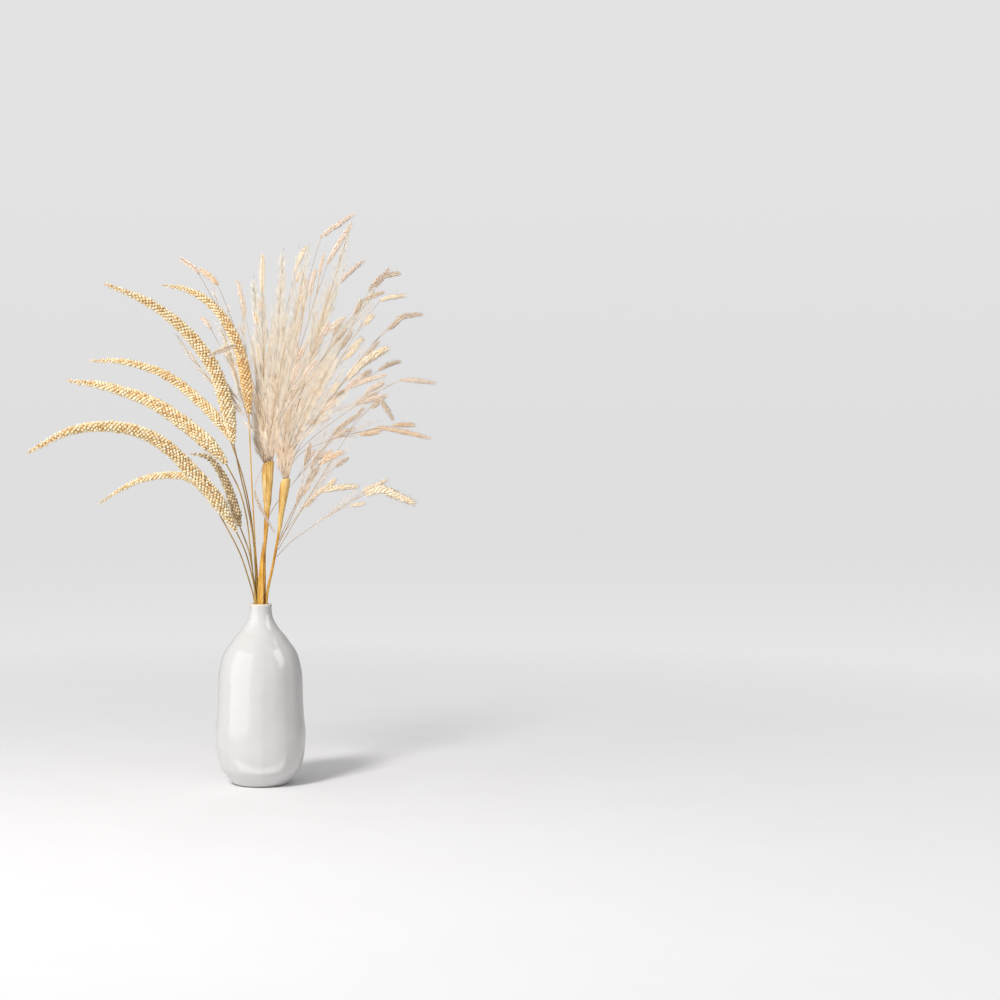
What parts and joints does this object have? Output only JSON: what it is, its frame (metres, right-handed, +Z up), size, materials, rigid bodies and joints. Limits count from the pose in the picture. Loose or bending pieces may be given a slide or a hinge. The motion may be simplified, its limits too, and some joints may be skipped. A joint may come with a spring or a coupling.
{
  "type": "vase of dried pampas grass and wheat",
  "caption": "Narrow-necked glazed bottle vase holding a wide spray of dried grasses: long arching beaded ears to one side, soft plumes and foxtail heads to the other.",
  "frame": {"origin": "middle of the flat underside of the vase", "axes": "+Z up along the vase's axis, +Y to the back, -X towards the arching beaded ears, +X towards the pampas heads"},
  "size_m": [0.5895, 0.2748, 0.8424],
  "materials": {
    "glaze": "gloss",
    "ear_cream": "matte",
    "ear_brown": "matte",
    "ear_grey": "matte",
    "ear_culm": "matte",
    "pampas_culm": "satin",
    "sheath": "matte",
    "leaf": "matte",
    "plume": "matte",
    "foxtail": "matte"
  },
  "bodies": {
    "root": {"foxtail_back_high": "foxtail", "foxtail_back_low": "foxtail", "foxtail_back_upper": "foxtail", "foxtail_cream_low": "foxtail", "foxtail_cream_right": "foxtail", "foxtail_far_right": "foxtail", "foxtail_far_right_high": "foxtail", "foxtail_far_right_low": "foxtail", "foxtail_far_right_upper": "foxtail", "foxtail_front_high": "foxtail", "foxtail_front_middle": "foxtail", "foxtail_front_right": "foxtail", "foxtail_left_back": "foxtail", "foxtail_left_brown": "foxtail", "foxtail_left_front": "foxtail", "foxtail_left_high": "foxtail", "foxtail_low_right": "foxtail", "foxtail_nodding": "foxtail", "foxtail_orange_right": "foxtail", "foxtail_right_back": "foxtail", "foxtail_right_back_high": "foxtail", "foxtail_right_back_upper": "foxtail", "foxtail_right_front_high": "foxtail", "foxtail_right_front_upper": "foxtail", "foxtail_top_back": "foxtail", "foxtail_top_front": "foxtail", "foxtail_top_left": "foxtail", "foxtail_top_middle": "foxtail", "foxtail_top_right": "foxtail", "foxtail_upper_right": "foxtail", "leaf_blade": "leaf", "pampas_culm_back": "pampas_culm", "pampas_culm_middle": "pampas_culm", "pampas_culm_right": "pampas_culm", "pampas_plume_1": "plume", "pampas_plume_2": "plume", "pampas_plume_3": "plume", "pampas_plume_4": "plume", "pampas_plume_5": "plume", "pampas_plume_6": "plume", "pampas_plume_7": "plume", "pampas_plume_8": "plume", "pampas_sheath_back": "sheath", "pampas_sheath_middle": "sheath", "pampas_sheath_right": "sheath", "vase": "glaze", "wheat_culm_high_long": "ear_culm", "wheat_culm_low_long": "ear_culm", "wheat_culm_low_thin": "ear_culm", "wheat_culm_middle_high": "ear_culm", "wheat_culm_middle_low": "ear_culm", "wheat_culm_short_grey": "ear_culm", "wheat_culm_top_brown": "ear_culm", "wheat_ear_high_long": "ear_cream", "wheat_ear_low_long": "ear_cream", "wheat_ear_low_thin": "ear_cream", "wheat_ear_middle_high": "ear_cream", "wheat_ear_middle_low": "ear_cream", "wheat_ear_short_grey": "ear_grey", "wheat_ear_top_brown": "ear_brown"}
  },
  "joints": []
}
